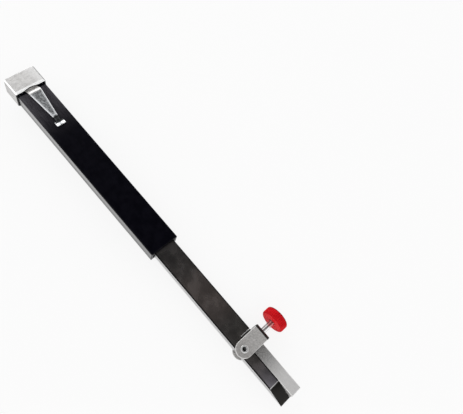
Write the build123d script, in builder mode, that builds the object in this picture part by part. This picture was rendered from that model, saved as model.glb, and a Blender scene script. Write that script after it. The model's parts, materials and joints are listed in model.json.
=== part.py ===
# Pocket hi-lo welding gauge: a flat steel bar that telescopes out of a flat sleeve.
# The bar ends in a fixed leg, and a second leg slides beside it in a notch.
# A bent bracket is riveted across both legs, and a thumb screw in it clamps the sliding leg.
# Millimetres. +X runs along the bar towards the leg tips, +Y towards the thumb screw, +Z out of the black face.
# The origin is the middle of the sleeve's flat underside.

import os
from math import atan2, degrees, sqrt

from build123d import *

# Bar and legs
bar_width = 12.0
bar_thickness = 4.6
bar_edge = 0.35
fixed_leg_width = 6.0
leg_side_gap = 0.05
leg_face_gap = 0.05
leg_edge = 0.25
notch_length = 36.1
notch_end_gap = 0.3
leg_tip_setback = 0.1
ramp_length = 9.6
ramp_edge_thickness = 0.6

# Sleeve
sleeve_length = 120.0
channel_wall = 1.2
guide_gap = 0.7
plate_thickness = 1.4
plate_edge = 0.4
sleeve_edge = 0.6
bar_reach = 92.9

# Mouth bush and the shoe on the bar's inner end
bush_recess = 2.0
bush_length = 8.0
bar_running_gap = 0.05
shoe_running_gap = 0.05
shoe_stop_gap = 0.1
shoe_length = 26.0
shoe_socket_depth = 12.0
shoe_pin_radius = 1.0
drag_pocket_length = 11.0
drag_pocket_width = 6.0
drag_pocket_depth = 2.0
drag_spring_thickness = 0.3
drag_spring_side_gap = 0.2
drag_spring_end_gap = 0.3
drag_spring_crown_gap = 0.03

# End plug, cap and their screw
plug_length = 10.0
cap_length = 11.6
cap_wall = 0.75
cap_end_wall = 1.0
cap_gap = 0.05
cap_seat_step = 0.15
cap_head_room = 0.2
cap_chamfer = 0.7
cap_front_chamfer = 0.4
cap_screw_radius = 1.0
cap_screw_head_radius = 1.9
cap_screw_length = 5.0
cap_screw_slot = 0.5

# Pocket clip
clip_thickness = 0.7
clip_root_width = 7.1
clip_neck_width = 2.6
clip_foot_width = 5.1
clip_root_length = 8.6
clip_hump_run = 3.0
clip_hump_height = 2.5
clip_blade_length = 18.6
clip_blade_end_height = 0.85
clip_neck_run = 1.5
clip_foot_length = 3.6
clip_foot_kick = 0.5
clip_face_gap = 0.02
clip_bend_radius = 0.6
clip_rim = 0.75
clip_panel_depth = 0.15
clip_rivet_radius = 1.1
clip_rivet_head_radius = 1.9
clip_rivet_depth = 4.5

# Clamp bracket and its rivet
bracket_width = 8.7
bracket_sheet = 1.2
bracket_notch_lead = 1.0
bracket_web_space = 3.1
bracket_bend_radius = 1.5
bracket_edge = 0.22
rivet_offset = 3.0
rivet_radius = 1.5
rivet_gap = 0.02
rivet_head_radius = 1.95
rivet_head_height = 0.6
rivet_cup_radius = 1.25
rivet_cup_depth = 1.0

# Thumb screw and knob
screw_radius = 1.45
screw_hole_gap = 0.05
screw_tip_gap = 0.05
screw_reach = 6.8
screw_point = 0.4
knob_radius = 6.5
knob_thickness = 4.5
knob_edge = 0.6
knob_flutes = 40
knob_flute_depth = 0.3
knob_bore_depth = 3.6

# Places worked out from the sizes above
half_bar = bar_width / 2
channel_inside_width = bar_width + 2 * guide_gap
channel_inside_height = bar_thickness + 2 * guide_gap
sleeve_width = channel_inside_width + 2 * channel_wall
channel_height = channel_wall + channel_inside_height
face_z = channel_height + plate_thickness
bar_bottom_z = channel_wall + guide_gap
bar_top_z = bar_bottom_z + bar_thickness
bar_middle_z = bar_bottom_z + bar_thickness / 2
mouth_x = sleeve_length / 2
back_x = -sleeve_length / 2
tip_x = mouth_x + bar_reach
split_y = fixed_leg_width - half_bar
bush_back_x = mouth_x - bush_recess - bush_length
shoe_front_x = bush_back_x - shoe_stop_gap
shoe_back_x = shoe_front_x - shoe_length
bar_back_x = shoe_front_x - shoe_socket_depth
shoe_pin_x = bar_back_x + shoe_socket_depth / 2
drag_pocket_x = (shoe_back_x + bar_back_x) / 2
cap_back_x = back_x - cap_gap - cap_end_wall
cap_front_x = cap_back_x + cap_length
cap_bottom_z = cap_seat_step - cap_gap - cap_wall
cap_top_z = face_z + clip_thickness + cap_head_room + cap_wall
plug_x = back_x + plug_length / 2
bracket_x = tip_x - notch_length + bracket_notch_lead + bracket_width / 2
bracket_web_y = half_bar + bracket_web_space + bracket_sheet
rivet_y = -rivet_offset
knob_y = bracket_web_y + screw_reach
long = 2 * (sleeve_length + bar_reach)

os.makedirs("parts", exist_ok=True)


def save(builder, name):
    """Label a finished piece and write it as its own STEP file."""
    builder.part.label = name
    export_step(builder.part, f"parts/{name}.step")


# Sleeve channel: one folded steel channel, open at the top, whose floor and walls are one thickness
# The underside steps up a little at the closed end, so that the cap seats against a shoulder
with BuildPart() as sleeve_channel:
    with BuildSketch(Plane.YZ.offset(back_x)):
        with Locations((0, channel_height / 2)):
            Rectangle(sleeve_width, channel_height)
        fillet(vertices().group_by(Axis.Y)[0], sleeve_edge)
        with Locations((0, channel_wall)):
            Rectangle(channel_inside_width, channel_inside_height, align=(Align.CENTER, Align.MIN),
                      mode=Mode.SUBTRACT)
    extrude(amount=sleeve_length)
    with BuildSketch(Plane.XY):
        with Locations((back_x, 0)):
            Rectangle(cap_front_x + cap_gap - back_x, sleeve_width, align=(Align.MIN, Align.CENTER))
    extrude(amount=cap_seat_step, mode=Mode.SUBTRACT)
    with BuildSketch(Plane.XY):
        with Locations((plug_x, 0)):
            Circle(cap_screw_radius)
    extrude(amount=channel_wall, mode=Mode.SUBTRACT)
save(sleeve_channel, "sleeve_channel")

# Face plate: the black strip that closes the channel, with a softened edge all round its top
with BuildPart() as face_plate:
    with BuildSketch(Plane.XY.offset(channel_height)):
        Rectangle(sleeve_length, sleeve_width)
    extrude(amount=plate_thickness)
    chamfer(faces().sort_by(Axis.Z)[-1].edges(), plate_edge)
    with BuildSketch(Plane.XY.offset(channel_height)):
        with Locations((plug_x, 0)):
            Circle(clip_rivet_radius)
    extrude(amount=plate_thickness, mode=Mode.SUBTRACT)
save(face_plate, "face_plate")

# End plug: the block pressed into the channel's closed end, which both end fasteners bite into
with BuildPart() as end_plug:
    with BuildSketch(Plane.YZ.offset(back_x)):
        with Locations((0, channel_wall)):
            Rectangle(channel_inside_width, channel_inside_height, align=(Align.CENTER, Align.MIN))
    extrude(amount=plug_length)
    with BuildSketch(Plane.XY.offset(channel_wall)):
        with Locations((plug_x, 0)):
            Circle(cap_screw_radius)
    extrude(amount=cap_bottom_z + cap_screw_length - channel_wall, mode=Mode.SUBTRACT)
    with BuildSketch(Plane.XY.offset(channel_height)):
        with Locations((plug_x, 0)):
            Circle(clip_rivet_radius)
    extrude(amount=-(clip_rivet_depth - clip_thickness - plate_thickness), mode=Mode.SUBTRACT)
save(end_plug, "end_plug")

# End cap: a square cup of bright steel over the sleeve's end and the clip's root
with BuildPart() as end_cap:
    cap_outside_width = sleeve_width + 2 * (cap_gap + cap_wall)
    with BuildSketch(Plane.YZ.offset(cap_back_x)):
        with Locations((0, cap_bottom_z)):
            Rectangle(cap_outside_width, cap_top_z - cap_bottom_z, align=(Align.CENTER, Align.MIN))
    extrude(amount=cap_length)
    chamfer(edges().filter_by(Axis.X), cap_chamfer)
    chamfer(faces().sort_by(Axis.X)[0].edges(), cap_chamfer)
    chamfer(faces().sort_by(Axis.X)[-1].edges(), cap_front_chamfer)
    with BuildSketch(Plane.YZ.offset(cap_back_x + cap_end_wall)):
        with Locations((0, cap_bottom_z + cap_wall)):
            Rectangle(sleeve_width + 2 * cap_gap, cap_top_z - cap_bottom_z - 2 * cap_wall,
                      align=(Align.CENTER, Align.MIN))
    extrude(amount=cap_length, mode=Mode.SUBTRACT)
    with BuildSketch(Plane.XZ):
        with BuildLine():
            Polyline((plug_x, cap_bottom_z), (plug_x + cap_screw_head_radius, cap_bottom_z),
                     (plug_x + cap_screw_radius, cap_bottom_z + cap_wall),
                     (plug_x, cap_bottom_z + cap_wall), close=True)
        make_face()
    revolve(axis=Axis((plug_x, 0, 0), (0, 0, 1)), mode=Mode.SUBTRACT)
save(end_cap, "end_cap")

# Cap screw: a countersunk screw that holds the cap and the channel's floor to the plug
with BuildPart() as cap_screw:
    with BuildSketch(Plane.XZ):
        with BuildLine():
            Polyline((plug_x, cap_bottom_z), (plug_x + cap_screw_head_radius, cap_bottom_z),
                     (plug_x + cap_screw_radius, cap_bottom_z + cap_wall),
                     (plug_x + cap_screw_radius, cap_bottom_z + cap_screw_length),
                     (plug_x, cap_bottom_z + cap_screw_length), close=True)
        make_face()
    revolve(axis=Axis((plug_x, 0, 0), (0, 0, 1)))
    with BuildSketch(Plane.XY.offset(cap_bottom_z)):
        with Locations((plug_x, 0)):
            Rectangle(2 * cap_screw_head_radius, cap_screw_slot, rotation=30)
    extrude(amount=cap_screw_slot, mode=Mode.SUBTRACT)
save(cap_screw, "cap_screw")

# Pocket clip: one strip of spring steel, bent up over a hump, tapered to a neck and kicked up at its foot
clip_root_x = cap_front_x - clip_root_length
clip_hump_x = cap_front_x + clip_hump_run
clip_neck_x = clip_hump_x + clip_blade_length
clip_foot_x = clip_neck_x + clip_neck_run
clip_end_x = clip_foot_x + clip_foot_length
clip_middle_z = face_z + clip_thickness / 2
blade_angle = degrees(atan2(clip_hump_height - clip_blade_end_height, clip_blade_length))
with BuildPart() as pocket_clip:
    with BuildSketch(Plane.XZ.offset(-clip_root_width / 2)):
        with BuildLine():
            FilletPolyline((clip_root_x, clip_middle_z),
                           (cap_front_x + cap_head_room, clip_middle_z),
                           (clip_hump_x, clip_middle_z + clip_hump_height),
                           (clip_neck_x, clip_middle_z + clip_blade_end_height),
                           (clip_foot_x, clip_middle_z + clip_face_gap),
                           (clip_foot_x + clip_foot_length / 2, clip_middle_z + clip_face_gap),
                           (clip_end_x, clip_middle_z + clip_foot_kick),
                           radius=clip_bend_radius)
        trace(line_width=clip_thickness)
    extrude(amount=clip_root_width)
    with BuildSketch(Plane.XY.offset(face_z)):
        with BuildLine():
            Polyline((clip_root_x, clip_root_width / 2),
                     (clip_hump_x, clip_root_width / 2),
                     (clip_neck_x, clip_neck_width / 2),
                     (clip_foot_x + clip_bend_radius, clip_neck_width / 2),
                     (clip_foot_x + clip_bend_radius, clip_foot_width / 2),
                     (clip_end_x, clip_foot_width / 2),
                     (clip_end_x, 0), (clip_root_x, 0), close=True)
        make_face()
        mirror(about=Plane.XZ)
    extrude(amount=2 * clip_hump_height, mode=Mode.INTERSECT)
    blade_plane = Plane(origin=(clip_hump_x, 0, face_z + clip_hump_height),
                        x_dir=(clip_blade_length, 0, clip_blade_end_height - clip_hump_height),
                        z_dir=(clip_hump_height - clip_blade_end_height, 0, clip_blade_length))
    with BuildSketch(blade_plane.offset(clip_thickness - clip_panel_depth)):
        panel_start = 2 * clip_bend_radius
        panel_end = clip_blade_length - 2 * clip_bend_radius
        taper = (clip_root_width - clip_neck_width) / 2 / clip_blade_length
        with BuildLine():
            Polyline((panel_start, clip_root_width / 2 - taper * panel_start - clip_rim),
                     (panel_end, clip_root_width / 2 - taper * panel_end - clip_rim),
                     (panel_end, 0), (panel_start, 0), close=True)
        make_face()
        mirror(about=Plane.XZ)
    extrude(amount=clip_thickness, mode=Mode.SUBTRACT)
    with BuildSketch(Plane.XZ):
        with BuildLine():
            Polyline((plug_x, face_z), (plug_x + clip_rivet_radius, face_z),
                     (plug_x + clip_rivet_head_radius, face_z + clip_thickness),
                     (plug_x, face_z + clip_thickness), close=True)
        make_face()
    revolve(axis=Axis((plug_x, 0, 0), (0, 0, 1)), mode=Mode.SUBTRACT)
save(pocket_clip, "pocket_clip")

# Clip rivet: flush in the clip's root, through the plate and into the plug
with BuildPart() as clip_rivet:
    with BuildSketch(Plane.XZ):
        with BuildLine():
            Polyline((plug_x, face_z + clip_thickness),
                     (plug_x + clip_rivet_head_radius, face_z + clip_thickness),
                     (plug_x + clip_rivet_radius, face_z),
                     (plug_x + clip_rivet_radius, face_z + clip_thickness - clip_rivet_depth),
                     (plug_x, face_z + clip_thickness - clip_rivet_depth), close=True)
        make_face()
    revolve(axis=Axis((plug_x, 0, 0), (0, 0, 1)))
save(clip_rivet, "clip_rivet")

# Mouth bush: the guide frame set back inside the sleeve's open end
with BuildPart() as mouth_bush:
    with BuildSketch(Plane.YZ.offset(bush_back_x)):
        with Locations((0, bar_middle_z)):
            Rectangle(channel_inside_width, channel_inside_height)
            Rectangle(bar_width + 2 * bar_running_gap, bar_thickness + 2 * bar_running_gap,
                      mode=Mode.SUBTRACT)
    extrude(amount=bush_length)
save(mouth_bush, "mouth_bush")

# Main bar: one ground flat whose left half runs on as the fixed leg and ends in a long bevel
with BuildPart() as main_bar:
    with BuildSketch(Plane.YZ.offset(bar_back_x)):
        with Locations((0, bar_middle_z)):
            Rectangle(bar_width, bar_thickness)
        chamfer(vertices(), bar_edge)
    extrude(amount=tip_x - bar_back_x)
    with BuildSketch(Plane.XY.offset(bar_bottom_z)):
        with Locations((tip_x, split_y)):
            Rectangle(notch_length, bar_width, align=(Align.MAX, Align.MIN))
    extrude(amount=bar_thickness, mode=Mode.SUBTRACT)
    with BuildSketch(Plane.XZ.offset(-half_bar)):
        with BuildLine():
            Polyline((tip_x - ramp_length, bar_top_z), (tip_x, bar_top_z),
                     (tip_x, bar_bottom_z + ramp_edge_thickness), close=True)
        make_face()
    extrude(amount=bar_width, mode=Mode.SUBTRACT)
    with BuildSketch(Plane.XY.offset(bar_bottom_z)):
        with Locations((bracket_x, rivet_y)):
            Circle(rivet_radius)
        with Locations((shoe_pin_x, 0)):
            Circle(shoe_pin_radius)
    extrude(amount=bar_thickness, mode=Mode.SUBTRACT)
save(main_bar, "main_bar")

# Rear shoe: the block on the bar's inner end that slides in the channel and stops at the bush
with BuildPart() as rear_shoe:
    shoe_width = channel_inside_width - 2 * shoe_running_gap
    shoe_height = channel_inside_height - 2 * shoe_running_gap
    with BuildSketch(Plane.YZ.offset(shoe_back_x)):
        with Locations((0, bar_middle_z)):
            Rectangle(shoe_width, shoe_height)
    extrude(amount=shoe_length)
    with BuildSketch(Plane.YZ.offset(bar_back_x)):
        with Locations((0, bar_middle_z)):
            Rectangle(bar_width, bar_thickness)
    extrude(amount=shoe_socket_depth, mode=Mode.SUBTRACT)
    shoe_top_z = bar_middle_z + shoe_height / 2
    with BuildSketch(Plane.XY.offset(shoe_top_z - drag_pocket_depth)):
        with Locations((drag_pocket_x, 0)):
            Rectangle(drag_pocket_length, drag_pocket_width)
    extrude(amount=drag_pocket_depth, mode=Mode.SUBTRACT)
    with BuildSketch(Plane.XY.offset(shoe_top_z - shoe_height)):
        with Locations((shoe_pin_x, 0)):
            Circle(shoe_pin_radius)
    extrude(amount=shoe_height, mode=Mode.SUBTRACT)
save(rear_shoe, "rear_shoe")

# Shoe pin: holds the shoe on the bar, flush with the shoe's top and bottom
with BuildPart() as shoe_pin:
    with BuildSketch(Plane.XY.offset(shoe_top_z - shoe_height)):
        with Locations((shoe_pin_x, 0)):
            Circle(shoe_pin_radius)
    extrude(amount=shoe_height)
save(shoe_pin, "shoe_pin")

# Drag spring: a bowed leaf in the shoe's pocket that rubs under the face plate and holds the bar where it is put
with BuildPart() as drag_spring:
    spring_half = drag_pocket_length / 2 - drag_spring_end_gap
    spring_floor_z = shoe_top_z - drag_pocket_depth
    spring_crown_z = channel_height - drag_spring_crown_gap
    with BuildSketch(Plane.XZ.offset(-drag_pocket_width / 2 + drag_spring_side_gap)):
        with BuildLine():
            ThreePointArc((drag_pocket_x - spring_half, spring_floor_z + drag_spring_thickness),
                          (drag_pocket_x, spring_crown_z - drag_spring_thickness / 2),
                          (drag_pocket_x + spring_half, spring_floor_z + drag_spring_thickness))
        trace(line_width=drag_spring_thickness)
    extrude(amount=drag_pocket_width - 2 * drag_spring_side_gap)
save(drag_spring, "drag_spring")

# Sliding leg: flush with the bar in its notch, free to run out past the fixed leg
with BuildPart() as sliding_leg:
    leg_width = half_bar - split_y - leg_side_gap
    leg_back_x = tip_x - notch_length + notch_end_gap
    with BuildSketch(Plane.YZ.offset(leg_back_x)):
        with Locations((half_bar - leg_width / 2, bar_middle_z)):
            Rectangle(leg_width, bar_thickness - 2 * leg_face_gap)
    extrude(amount=tip_x - leg_tip_setback - leg_back_x)
    chamfer(edges().filter_by(Axis.X), leg_edge)
    chamfer(faces().sort_by(Axis.X)[-1].edges().filter_by(Axis.Y), leg_edge)
save(sliding_leg, "sliding_leg")

# Clamp bracket: a strip bent into a U round both legs, with round ends about the rivet
with BuildPart() as clamp_bracket:
    with BuildSketch(Plane.YZ.offset(bracket_x - bracket_width / 2)):
        with Locations((bracket_web_y, bar_middle_z)):
            Rectangle(bracket_web_y - rivet_y + bracket_width / 2, bar_thickness + 2 * bracket_sheet,
                      align=(Align.MAX, Align.CENTER))
        fillet(vertices().group_by(Axis.X)[-1], bracket_bend_radius)
        with BuildSketch(mode=Mode.SUBTRACT):
            with Locations((bracket_web_y - bracket_sheet, bar_middle_z)):
                Rectangle(bracket_web_y + bar_width, bar_thickness, align=(Align.MAX, Align.CENTER))
            fillet(vertices().group_by(Axis.X)[-1], bracket_bend_radius - bracket_sheet)
    extrude(amount=bracket_width)
    with BuildSketch(Plane.XY.offset(bar_bottom_z - bracket_sheet)):
        with Locations((bracket_x, rivet_y)):
            Circle(bracket_width / 2)
            Rectangle(bracket_width, long, align=(Align.CENTER, Align.MIN))
    extrude(amount=bar_thickness + 2 * bracket_sheet, mode=Mode.INTERSECT)
    top_rim = faces().filter_by(Axis.Z).sort_by(Axis.Z)[-1].edges()
    bottom_rim = faces().filter_by(Axis.Z).sort_by(Axis.Z)[0].edges()
    chamfer(top_rim.sort_by(Axis.Y)[:-1] + bottom_rim.sort_by(Axis.Y)[:-1], bracket_edge)
    with BuildSketch(Plane.XY.offset(bar_bottom_z - bracket_sheet)):
        with Locations((bracket_x, rivet_y)):
            Circle(rivet_radius)
    extrude(amount=bar_thickness + 2 * bracket_sheet, mode=Mode.SUBTRACT)
    with BuildSketch(Plane.XZ.offset(-bracket_web_y)):
        with Locations((bracket_x, bar_middle_z)):
            Circle(screw_radius + screw_hole_gap)
    extrude(amount=bracket_sheet, mode=Mode.SUBTRACT)
save(clamp_bracket, "clamp_bracket")

# Bracket rivet: a tubular rivet with a polished, cupped head on each cheek
with BuildPart() as bracket_rivet:
    cheek_top_z = bar_top_z + bracket_sheet
    rivet_top_z = cheek_top_z + rivet_head_height
    with BuildSketch(Plane.XZ.offset(-rivet_y)):
        with BuildLine():
            Polyline((bracket_x, bar_middle_z), (bracket_x + rivet_radius - rivet_gap, bar_middle_z),
                     (bracket_x + rivet_radius - rivet_gap, cheek_top_z),
                     (bracket_x + rivet_head_radius, cheek_top_z))
            head_side = TangentArc((bracket_x + rivet_head_radius, cheek_top_z),
                                   (bracket_x + rivet_cup_radius, rivet_top_z), tangent=(0, 1))
            Line(head_side @ 1, (bracket_x, rivet_top_z - rivet_cup_depth))
            Line((bracket_x, rivet_top_z - rivet_cup_depth), (bracket_x, bar_middle_z))
        make_face()
    revolve(axis=Axis((bracket_x, rivet_y, 0), (0, 0, 1)))
    mirror(about=Plane.XY.offset(bar_middle_z))
save(bracket_rivet, "bracket_rivet")

# Thumb screw: a polished round shank through the bracket's web, its flat point against the sliding leg
with BuildPart() as thumb_screw:
    screw_tip_y = half_bar + screw_tip_gap
    with BuildSketch(Plane.XZ.offset(-screw_tip_y)):
        with Locations((bracket_x, bar_middle_z)):
            Circle(screw_radius)
    extrude(amount=-(knob_y + knob_bore_depth - screw_tip_y))
    chamfer(faces().sort_by(Axis.Y)[0].edges(), screw_point)
save(thumb_screw, "thumb_screw")

# Knob: a short red disc with fine grooves round its rim and broken edges
with BuildPart() as knob:
    groove_side = knob_flute_depth * sqrt(2)
    with BuildSketch(Plane.XZ.offset(-knob_y)):
        with Locations((bracket_x, bar_middle_z)):
            Circle(knob_radius)
            with PolarLocations(knob_radius, knob_flutes):
                Rectangle(groove_side, groove_side, rotation=45, mode=Mode.SUBTRACT)
    extrude(amount=-knob_thickness)
    with BuildSketch(Plane.XY.offset(bar_middle_z)):
        with Locations((bracket_x, knob_y)):
            Rectangle(knob_radius, knob_thickness, align=(Align.MIN, Align.MIN))
        chamfer(vertices().group_by(Axis.X)[-1], knob_edge)
    revolve(axis=Axis((bracket_x, 0, bar_middle_z), (0, 1, 0)), mode=Mode.INTERSECT)
    with BuildSketch(Plane.XZ.offset(-knob_y)):
        with Locations((bracket_x, bar_middle_z)):
            Circle(screw_radius + screw_hole_gap)
    extrude(amount=-knob_bore_depth - screw_hole_gap, mode=Mode.SUBTRACT)
save(knob, "knob")
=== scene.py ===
"""The look of a pocket hi-lo gauge: steel sleeve, black face, capped end, spring clip, bar, legs and clamp.

Everything is in metres, in the part's own frame: +X points to the leg tips, +Y to the knob and +Z out of the
black face.
"""

import json
from math import atan2, cos, pi, radians, tan

import bmesh
import bpy
import numpy as np
from mathutils import Matrix, Vector


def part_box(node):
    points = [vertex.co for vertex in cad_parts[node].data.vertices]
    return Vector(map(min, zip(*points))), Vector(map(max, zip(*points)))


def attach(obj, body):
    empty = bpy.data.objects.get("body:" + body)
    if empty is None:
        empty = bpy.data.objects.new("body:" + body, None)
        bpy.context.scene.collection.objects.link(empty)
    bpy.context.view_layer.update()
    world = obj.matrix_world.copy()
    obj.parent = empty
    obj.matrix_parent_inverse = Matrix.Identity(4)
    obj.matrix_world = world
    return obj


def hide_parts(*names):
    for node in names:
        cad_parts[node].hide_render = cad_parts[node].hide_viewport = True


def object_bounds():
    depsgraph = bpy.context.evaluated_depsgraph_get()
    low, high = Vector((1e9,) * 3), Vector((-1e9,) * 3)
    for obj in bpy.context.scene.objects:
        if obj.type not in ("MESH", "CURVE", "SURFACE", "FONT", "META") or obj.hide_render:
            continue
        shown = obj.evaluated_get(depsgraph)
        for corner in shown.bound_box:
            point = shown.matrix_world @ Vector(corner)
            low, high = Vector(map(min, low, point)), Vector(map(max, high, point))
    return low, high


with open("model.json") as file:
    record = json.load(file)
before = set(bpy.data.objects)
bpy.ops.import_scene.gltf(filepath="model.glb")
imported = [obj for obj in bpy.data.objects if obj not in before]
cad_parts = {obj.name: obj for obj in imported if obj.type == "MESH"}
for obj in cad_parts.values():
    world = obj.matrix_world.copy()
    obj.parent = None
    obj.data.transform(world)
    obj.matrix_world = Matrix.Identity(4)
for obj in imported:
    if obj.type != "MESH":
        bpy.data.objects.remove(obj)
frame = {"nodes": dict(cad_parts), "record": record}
packed_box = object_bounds()

mm = 0.001


# Places taken from the frame

def low(node):
    """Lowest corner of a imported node."""
    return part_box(node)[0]


def high(node):
    """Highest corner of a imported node."""
    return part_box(node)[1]


def middle(node):
    """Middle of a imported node."""
    return (low(node) + high(node)) / 2


floor_z = packed_box[0].z
face_z = high("face_plate").z
cap_front_x = high("end_cap").x
mouth_x = high("sleeve_channel").x
half_bar = high("main_bar").y
ramp_length = 9.6 * mm
ramp_x = high("main_bar").x - ramp_length
notch_x = low("sliding_leg").x
bracket_start_x = low("clamp_bracket").x
bracket_end_x = high("clamp_bracket").x
rivet_centre = middle("bracket_rivet")
knob_centre = middle("knob")
screw_centre = middle("thumb_screw")

# Along the clip: its crest, the narrow end of its blade, and the start of its foot
clip_end_x = high("pocket_clip").x
hump_x = cap_front_x + 3.6 * mm
neck_x = clip_end_x - 5.1 * mm
foot_x = clip_end_x - 3.6 * mm
root_half_width = 3.55 * mm
neck_half_width = 1.3 * mm
foot_half_width = 2.55 * mm


# Shader building

def node_group(name, inputs, outputs):
    """A new shader node group with float or vector sockets, and its group input and output nodes."""
    kinds = {"float": "NodeSocketFloat", "vector": "NodeSocketVector"}
    group = bpy.data.node_groups.new(name, "ShaderNodeTree")
    for label, kind, value in inputs:
        socket = group.interface.new_socket(name=label, in_out="INPUT", socket_type=kinds[kind])
        if value is not None:
            socket.default_value = value
    for label, kind in outputs:
        group.interface.new_socket(name=label, in_out="OUTPUT", socket_type=kinds[kind])
    return group, group.nodes.new("NodeGroupInput"), group.nodes.new("NodeGroupOutput")


class Shading:
    """Adds nodes to one tree and links them in short lines."""

    def __init__(self, tree):
        self.nodes = tree.nodes
        self.links = tree.links

    def link(self, value, socket):
        """Put a number, colour or another node's socket into a socket."""
        if isinstance(value, bpy.types.NodeSocket):
            self.links.new(value, socket)
        else:
            socket.default_value = value

    def math(self, operation, a, b=None):
        """One number from one or two."""
        node = self.nodes.new("ShaderNodeMath")
        node.operation = operation
        self.link(a, node.inputs[0])
        if b is not None:
            self.link(b, node.inputs[1])
        return node.outputs[0]

    def minus(self, a, b):
        """The first number less the second."""
        return self.math("SUBTRACT", a, b)

    def times(self, a, b):
        """Two numbers multiplied; for two masks, the part they share."""
        return self.math("MULTIPLY", a, b)

    def larger(self, a, b):
        """The larger of two numbers; for two masks, both together."""
        return self.math("MAXIMUM", a, b)

    def unsigned(self, a):
        """A number without its sign."""
        return self.math("ABSOLUTE", a)

    def weighted(self, *parts):
        """Numbers added up, each times its own share."""
        total = self.times(*parts[0])
        for value, share in parts[1:]:
            total = self.math("ADD", total, self.times(value, share))
        return total

    def vector_math(self, operation, a, b=None):
        """One vector, or its length or product, from one or two."""
        node = self.nodes.new("ShaderNodeVectorMath")
        node.operation = operation
        self.link(a, node.inputs[0])
        if b is not None:
            self.link(b, node.inputs[1])
        return node.outputs["Value" if operation in ("DOT_PRODUCT", "LENGTH") else "Vector"]

    def stretch(self, vector, scale):
        """A vector times a scale along each axis."""
        return self.vector_math("MULTIPLY", vector, scale)

    def distance(self, place, centre, counted):
        """How far a place is from a centre, along the axes that are counted with 1."""
        offset = self.vector_math("SUBTRACT", place, tuple(centre))
        return self.vector_math("LENGTH", self.stretch(offset, counted))

    def split(self, vector):
        """The X, Y and Z of a vector."""
        node = self.nodes.new("ShaderNodeSeparateXYZ")
        self.link(vector, node.inputs[0])
        return node.outputs

    def between(self, value, low_edge, high_edge, low_value=0.0, high_value=1.0, smooth=True):
        """Map a value from one range to another, held at both ends."""
        node = self.nodes.new("ShaderNodeMapRange")
        node.interpolation_type = "SMOOTHSTEP" if smooth else "LINEAR"
        self.link(value, node.inputs["Value"])
        self.link(low_edge, node.inputs["From Min"])
        self.link(high_edge, node.inputs["From Max"])
        self.link(low_value, node.inputs["To Min"])
        self.link(high_value, node.inputs["To Max"])
        return node.outputs["Result"]

    def band(self, value, start, full_from, full_to, end):
        """1 from one value to another, falling softly to 0 outside them."""
        return self.times(self.between(value, start, full_from), self.between(value, end, full_to))

    def mix(self, share, a, b):
        """Mix two colours by a share."""
        node = self.nodes.new("ShaderNodeMix")
        node.data_type = "RGBA"
        self.link(share, node.inputs["Factor"])
        self.link(a, node.inputs[6])
        self.link(b, node.inputs[7])
        return node.outputs[2]

    def mix_value(self, share, a, b):
        """Mix two numbers by a share."""
        node = self.nodes.new("ShaderNodeMix")
        node.data_type = "FLOAT"
        self.link(share, node.inputs["Factor"])
        self.link(a, node.inputs[2])
        self.link(b, node.inputs[3])
        return node.outputs[0]

    def noise(self, vector, detail, roughness=0.55, scale=1.0):
        """Soft noise from 0 to 1."""
        node = self.nodes.new("ShaderNodeTexNoise")
        self.link(vector, node.inputs["Vector"])
        self.link(scale, node.inputs["Scale"])
        self.link(detail, node.inputs["Detail"])
        self.link(roughness, node.inputs["Roughness"])
        return node.outputs["Fac"]

    def bump(self, height, depth, strength):
        """A normal that follows a height from 0 to 1 over a depth."""
        node = self.nodes.new("ShaderNodeBump")
        self.link(strength, node.inputs["Strength"])
        self.link(depth, node.inputs["Distance"])
        self.link(height, node.inputs["Height"])
        return node.outputs["Normal"]

    def place(self):
        """The place on the piece, in metres in the part's frame."""
        return self.nodes.new("ShaderNodeTexCoord").outputs["Object"]

    def facing(self):
        """The surface's own normal as x, y and z."""
        return self.split(self.nodes.new("ShaderNodeNewGeometry").outputs["Normal"])

    def group(self, group, **values):
        """A node group with its own values."""
        node = self.nodes.new("ShaderNodeGroup")
        node.node_tree = group
        for label, value in values.items():
            self.link(value, node.inputs[label])
        return node.outputs


def material(name, metallic, roughness, **sockets):
    """A material with one Principled shader, its constant values set on the shader's own sockets."""
    made = bpy.data.materials.new(name)
    made.use_nodes = True
    shader = made.node_tree.nodes["Principled BSDF"]
    shader.inputs["Metallic"].default_value = metallic
    shader.inputs["Roughness"].default_value = roughness
    for label, value in sockets.items():
        shader.inputs[label.replace("_", " ")].default_value = value
    return made, shader, Shading(made.node_tree)


def lay_on(shader, shading, colour, normal, rough=None):
    """Give a shader its colour and normal, and a roughness where that changes over the surface."""
    shading.link(colour, shader.inputs["Base Color"])
    shading.link(normal, shader.inputs["Normal"])
    if rough is not None:
        shading.link(rough, shader.inputs["Roughness"])


def make_brushed_grain():
    """Fine scratches along one axis: noise squeezed across the grain and drawn out along it."""
    group, given, out = node_group(
        "Brushed grain",
        [("Place", "vector", None), ("Grain", "vector", (60.0, 2600.0, 2600.0))],
        [("Shade", "float"), ("Patches", "float")])
    shading = Shading(group)
    place = given.outputs["Place"]
    fine = shading.noise(shading.stretch(place, given.outputs["Grain"]), detail=4.0, roughness=0.7)
    patches = shading.noise(shading.stretch(place, (260.0, 420.0, 420.0)), detail=2.0)
    shading.link(shading.between(fine, 0.3, 0.7, smooth=False), out.inputs["Shade"])
    shading.link(shading.between(patches, 0.3, 0.7), out.inputs["Patches"])
    return group


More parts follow.
